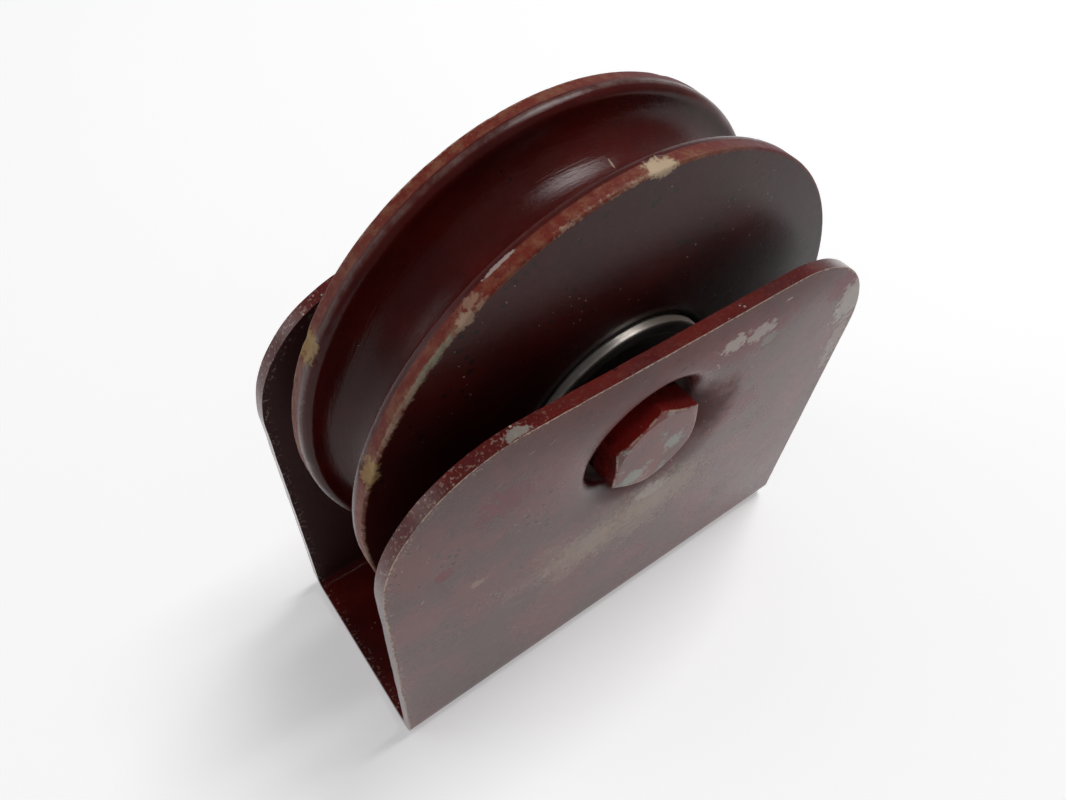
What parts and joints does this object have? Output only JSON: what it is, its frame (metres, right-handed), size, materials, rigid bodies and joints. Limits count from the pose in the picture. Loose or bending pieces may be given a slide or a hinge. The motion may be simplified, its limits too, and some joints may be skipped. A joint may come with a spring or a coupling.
{
  "type": "sliding gate wheel",
  "caption": "Grooved steel wheel on sealed ball bearings in a folded sheet-steel bracket, for carrying a sliding gate along a round bar rail.",
  "frame": {"origin": "middle of the underside of the bracket's web", "axes": "+X along the rolling direction, +Y along the axle from the bolt head to the nut, +Z from the web towards the wheel"},
  "size_m": [0.105, 0.053, 0.1141],
  "materials": {
    "bracket_paint": "dull oxide-red paint with grey dust and worn edges",
    "wheel_paint": "glossy dark oxide-red paint with chipped rims",
    "fastener_paint": "oxide-red paint rubbed pale on the edges",
    "ring_steel": "ground bearing steel",
    "ball_steel": "polished",
    "cage_steel": "pressed strip steel",
    "sleeve_steel": "turned steel",
    "seal_rubber": "moulded black rubber"
  },
  "bodies": {
    "support": {"bracket": "bracket_paint", "axle_sleeve": "sleeve_steel", "axle_bolt": "fastener_paint", "spring_washer": "fastener_paint", "axle_nut": "fastener_paint", "inner_ring_front": "ring_steel", "inner_ring_back": "ring_steel"},
    "wheel": {"wheel": "wheel_paint", "outer_ring_front": "ring_steel", "outer_ring_back": "ring_steel", "seal_outer_front": "seal_rubber", "seal_inner_front": "seal_rubber", "seal_outer_back": "seal_rubber", "seal_inner_back": "seal_rubber"},
    "cage_front": {"cage_outer_half_front": "cage_steel", "cage_inner_half_front": "cage_steel", "cage_rivets_front": "cage_steel"},
    "ball_front_1": {"ball_front_1": "ball_steel"},
    "ball_front_2": {"ball_front_2": "ball_steel"},
    "ball_front_3": {"ball_front_3": "ball_steel"},
    "ball_front_4": {"ball_front_4": "ball_steel"},
    "ball_front_5": {"ball_front_5": "ball_steel"},
    "ball_front_6": {"ball_front_6": "ball_steel"},
    "ball_front_7": {"ball_front_7": "ball_steel"},
    "ball_front_8": {"ball_front_8": "ball_steel"},
    "cage_back": {"cage_outer_half_back": "cage_steel", "cage_inner_half_back": "cage_steel", "cage_rivets_back": "cage_steel"},
    "ball_back_1": {"ball_back_1": "ball_steel"},
    "ball_back_2": {"ball_back_2": "ball_steel"},
    "ball_back_3": {"ball_back_3": "ball_steel"},
    "ball_back_4": {"ball_back_4": "ball_steel"},
    "ball_back_5": {"ball_back_5": "ball_steel"},
    "ball_back_6": {"ball_back_6": "ball_steel"},
    "ball_back_7": {"ball_back_7": "ball_steel"},
    "ball_back_8": {"ball_back_8": "ball_steel"}
  },
  "joints": [
    {"name": "wheel_spin", "type": "hinge", "parent": "support", "child": "wheel", "pos_m": [0, 0, 0.0641], "axis": [0, 1, 0], "continuous": true},
    {"name": "cage_front_orbit", "type": "hinge", "parent": "support", "child": "cage_front", "pos_m": [0, -0.0072, 0.0641], "axis": [0, 1, 0], "continuous": true},
    {"name": "ball_front_1_roll", "type": "hinge", "parent": "cage_front", "child": "ball_front_1", "pos_m": [0.01425, -0.0072, 0.0641], "axis": [0, 1, 0], "continuous": true},
    {"name": "ball_front_2_roll", "type": "hinge", "parent": "cage_front", "child": "ball_front_2", "pos_m": [0.01008, -0.0072, 0.05402], "axis": [0, 1, 0], "continuous": true},
    {"name": "ball_front_3_roll", "type": "hinge", "parent": "cage_front", "child": "ball_front_3", "pos_m": [0, -0.0072, 0.04985], "axis": [0, 1, 0], "continuous": true},
    {"name": "ball_front_4_roll", "type": "hinge", "parent": "cage_front", "child": "ball_front_4", "pos_m": [-0.01008, -0.0072, 0.05402], "axis": [0, 1, 0], "continuous": true},
    {"name": "ball_front_5_roll", "type": "hinge", "parent": "cage_front", "child": "ball_front_5", "pos_m": [-0.01425, -0.0072, 0.0641], "axis": [0, 1, 0], "continuous": true},
    {"name": "ball_front_6_roll", "type": "hinge", "parent": "cage_front", "child": "ball_front_6", "pos_m": [-0.01008, -0.0072, 0.07418], "axis": [0, 1, 0], "continuous": true},
    {"name": "ball_front_7_roll", "type": "hinge", "parent": "cage_front", "child": "ball_front_7", "pos_m": [0, -0.0072, 0.07835], "axis": [0, 1, 0], "continuous": true},
    {"name": "ball_front_8_roll", "type": "hinge", "parent": "cage_front", "child": "ball_front_8", "pos_m": [0.01008, -0.0072, 0.07418], "axis": [0, 1, 0], "continuous": true},
    {"name": "cage_back_orbit", "type": "hinge", "parent": "support", "child": "cage_back", "pos_m": [0, 0.0072, 0.0641], "axis": [0, 1, 0], "continuous": true},
    {"name": "ball_back_1_roll", "type": "hinge", "parent": "cage_back", "child": "ball_back_1", "pos_m": [0.01425, 0.0072, 0.0641], "axis": [0, 1, 0], "continuous": true},
    {"name": "ball_back_2_roll", "type": "hinge", "parent": "cage_back", "child": "ball_back_2", "pos_m": [0.01008, 0.0072, 0.05402], "axis": [0, 1, 0], "continuous": true},
    {"name": "ball_back_3_roll", "type": "hinge", "parent": "cage_back", "child": "ball_back_3", "pos_m": [0, 0.0072, 0.04985], "axis": [0, 1, 0], "continuous": true},
    {"name": "ball_back_4_roll", "type": "hinge", "parent": "cage_back", "child": "ball_back_4", "pos_m": [-0.01008, 0.0072, 0.05402], "axis": [0, 1, 0], "continuous": true},
    {"name": "ball_back_5_roll", "type": "hinge", "parent": "cage_back", "child": "ball_back_5", "pos_m": [-0.01425, 0.0072, 0.0641], "axis": [0, 1, 0], "continuous": true},
    {"name": "ball_back_6_roll", "type": "hinge", "parent": "cage_back", "child": "ball_back_6", "pos_m": [-0.01008, 0.0072, 0.07418], "axis": [0, 1, 0], "continuous": true},
    {"name": "ball_back_7_roll", "type": "hinge", "parent": "cage_back", "child": "ball_back_7", "pos_m": [0, 0.0072, 0.07835], "axis": [0, 1, 0], "continuous": true},
    {"name": "ball_back_8_roll", "type": "hinge", "parent": "cage_back", "child": "ball_back_8", "pos_m": [0.01008, 0.0072, 0.07418], "axis": [0, 1, 0], "continuous": true}
  ],
  "couplings": [
    {"joint": "cage_front_orbit", "follows": "wheel_spin", "ratio": 0.61837},
    {"joint": "ball_front_1_roll", "follows": "wheel_spin", "ratio": 1.9937},
    {"joint": "ball_front_2_roll", "follows": "wheel_spin", "ratio": 1.9937},
    {"joint": "ball_front_3_roll", "follows": "wheel_spin", "ratio": 1.9937},
    {"joint": "ball_front_4_roll", "follows": "wheel_spin", "ratio": 1.9937},
    {"joint": "ball_front_5_roll", "follows": "wheel_spin", "ratio": 1.9937},
    {"joint": "ball_front_6_roll", "follows": "wheel_spin", "ratio": 1.9937},
    {"joint": "ball_front_7_roll", "follows": "wheel_spin", "ratio": 1.9937},
    {"joint": "ball_front_8_roll", "follows": "wheel_spin", "ratio": 1.9937},
    {"joint": "cage_back_orbit", "follows": "wheel_spin", "ratio": 0.61837},
    {"joint": "ball_back_1_roll", "follows": "wheel_spin", "ratio": 1.9937},
    {"joint": "ball_back_2_roll", "follows": "wheel_spin", "ratio": 1.9937},
    {"joint": "ball_back_3_roll", "follows": "wheel_spin", "ratio": 1.9937},
    {"joint": "ball_back_4_roll", "follows": "wheel_spin", "ratio": 1.9937},
    {"joint": "ball_back_5_roll", "follows": "wheel_spin", "ratio": 1.9937},
    {"joint": "ball_back_6_roll", "follows": "wheel_spin", "ratio": 1.9937},
    {"joint": "ball_back_7_roll", "follows": "wheel_spin", "ratio": 1.9937},
    {"joint": "ball_back_8_roll", "follows": "wheel_spin", "ratio": 1.9937}
  ]
}
